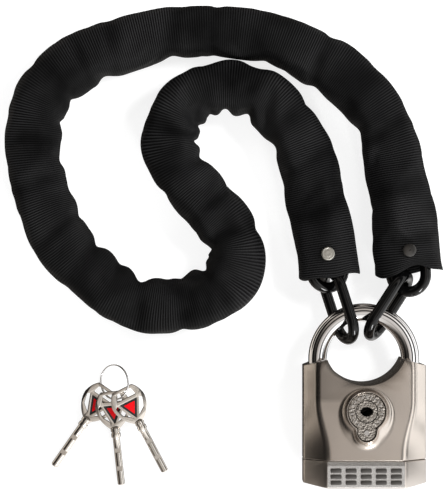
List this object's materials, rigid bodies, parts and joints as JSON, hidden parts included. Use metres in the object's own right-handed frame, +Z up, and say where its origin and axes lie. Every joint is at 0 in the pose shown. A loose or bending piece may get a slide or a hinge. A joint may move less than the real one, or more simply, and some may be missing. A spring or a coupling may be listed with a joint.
{
  "type": "chain lock",
  "caption": "Alarm padlock with a curved shackle closing a square-section chain in a ribbed fabric sleeve, with keys on a split ring.",
  "frame": {"origin": "middle of the outline, on the plane that the lock lies on", "axes": "+Z up, out of the padlock's keyhole face; +Y from the padlock towards the far side of the coil; +X to the right"},
  "size_m": [0.2387, 0.2619, 0.0342],
  "materials": {
    "satin_nickel": "satin nickel plate over die-cast zinc",
    "polished_chrome": "polished chrome plate over hardened steel",
    "bright_plate": "bright, lightly stippled",
    "gunmetal": "dark satin",
    "black_link": "gloss black coating",
    "chain_steel": "gloss black coating",
    "black_fabric": "woven nylon with fine ribs across its length",
    "bright_steel": "bright",
    "brass": "satin",
    "black_rubber": "matte",
    "green_board": "circuit board",
    "black_plastic": "matte",
    "red_enamel": "gloss red filling"
  },
  "bodies": {
    "sleeved_chain": {"sleeve": "black_fabric", "rivet_right": "gunmetal", "rivet_left": "bright_plate", "second_link_right": "black_link", "second_link_left": "black_link", "chain_link_01": "chain_steel", "chain_link_02": "chain_steel", "chain_link_03": "chain_steel", "chain_link_04": "chain_steel", "chain_link_05": "chain_steel", "chain_link_06": "chain_steel", "chain_link_07": "chain_steel", "chain_link_08": "chain_steel", "chain_link_09": "chain_steel", "chain_link_10": "chain_steel", "chain_link_11": "chain_steel", "chain_link_12": "chain_steel", "chain_link_13": "chain_steel", "chain_link_14": "chain_steel", "chain_link_15": "chain_steel", "chain_link_16": "chain_steel", "chain_link_17": "chain_steel", "chain_link_18": "chain_steel", "chain_link_19": "chain_steel", "chain_link_20": "chain_steel", "chain_link_21": "chain_steel", "chain_link_22": "chain_steel", "chain_link_23": "chain_steel", "chain_link_24": "chain_steel", "chain_link_25": "chain_steel"},
    "right_end_link": {"end_link_right": "black_link"},
    "left_end_link": {"end_link_left": "black_link"},
    "shackle": {"shackle": "polished_chrome"},
    "padlock_body": {"lock_body": "satin_nickel", "cylinder_housing": "satin_nickel", "shackle_seal_left": "black_rubber", "shackle_seal_right": "black_rubber", "circuit_board": "green_board", "siren": "black_plastic", "shake_sensor": "black_plastic", "shackle_spring": "bright_steel"},
    "plug": {"cylinder_plug": "satin_nickel", "lock_cam": "brass"},
    "bolt_left": {"locking_bolt_left": "bright_steel"},
    "bolt_right": {"locking_bolt_right": "bright_steel"},
    "end_cap": {"end_cap": "satin_nickel", "label_plate": "bright_plate", "cap_screw_left": "bright_steel", "cap_screw_right": "bright_steel", "battery_carrier": "black_plastic", "battery_cell_1": "bright_steel", "battery_cell_2": "bright_steel", "battery_cell_3": "bright_steel"},
    "key_ring": {"key_ring": "bright_steel"},
    "key_left": {"key_left": "satin_nickel", "key_insert_left": "red_enamel"},
    "key_middle": {"key_middle": "satin_nickel", "key_insert_middle": "red_enamel"},
    "key_right": {"key_right": "satin_nickel", "key_insert_right": "red_enamel"}
  },
  "joints": [
    {"name": "link_lift", "type": "hinge", "parent": "sleeved_chain", "child": "right_end_link", "pos_m": [0.08, -0.0233, 0.0129], "axis": [-1, 0, 0], "range_deg": [0, 8]},
    {"name": "link_lift_left", "type": "hinge", "parent": "sleeved_chain", "child": "left_end_link", "pos_m": [0.08, -0.0233, 0.0129], "axis": [-1, 0, 0], "range_deg": [0, 8]},
    {"name": "padlock_swing", "type": "hinge", "parent": "right_end_link", "child": "shackle", "pos_m": [0.0761, -0.0383, 0.015], "axis": [-1, 0, 0], "range_deg": [0, 90]},
    {"name": "shackle_lift", "type": "slide", "parent": "shackle", "child": "padlock_body", "axis": [0, -1, 0], "range_m": [0, 0.032], "deforming": ["shackle_spring"]},
    {"name": "plug_turn", "type": "hinge", "parent": "padlock_body", "child": "plug", "pos_m": [0.0761, -0.0876, 0.0195], "axis": [0, 0, 1], "range_deg": [0, 90]},
    {"name": "bolt_left_slide", "type": "slide", "parent": "padlock_body", "child": "bolt_left", "axis": [1, 0, 0], "range_m": [0, 0.003]},
    {"name": "bolt_right_slide", "type": "slide", "parent": "padlock_body", "child": "bolt_right", "axis": [-1, 0, 0], "range_m": [0, 0.003]},
    {"name": "end_cap_slide", "type": "slide", "parent": "padlock_body", "child": "end_cap", "axis": [0, -1, 0], "range_m": [0, 0.02]},
    {"name": "key_ring_lift", "type": "slide", "parent": "sleeved_chain", "child": "key_ring", "axis": [0, 0, 1], "range_m": [0, 0.06]},
    {"name": "key_left_turn", "type": "hinge", "parent": "key_ring", "child": "key_left", "pos_m": [-0.06527, -0.08155, 0.0034], "axis": [0, 0, 1], "range_deg": [-6, 4]},
    {"name": "key_middle_turn", "type": "hinge", "parent": "key_ring", "child": "key_middle", "pos_m": [-0.06044, -0.08371, 0.0061], "axis": [0, 0, 1], "range_deg": [-4, 4]},
    {"name": "key_right_turn", "type": "hinge", "parent": "key_ring", "child": "key_right", "pos_m": [-0.05293, -0.08155, 0.0088], "axis": [0, 0, 1], "range_deg": [-4, 8]}
  ],
  "couplings": [
    {"joint": "link_lift_left", "follows": "link_lift", "ratio": 1},
    {"joint": "plug_turn", "follows": "shackle_lift", "rad_per_m": 49.087},
    {"joint": "bolt_left_slide", "follows": "shackle_lift", "ratio": 0.09375},
    {"joint": "bolt_right_slide", "follows": "shackle_lift", "ratio": 0.09375}
  ]
}
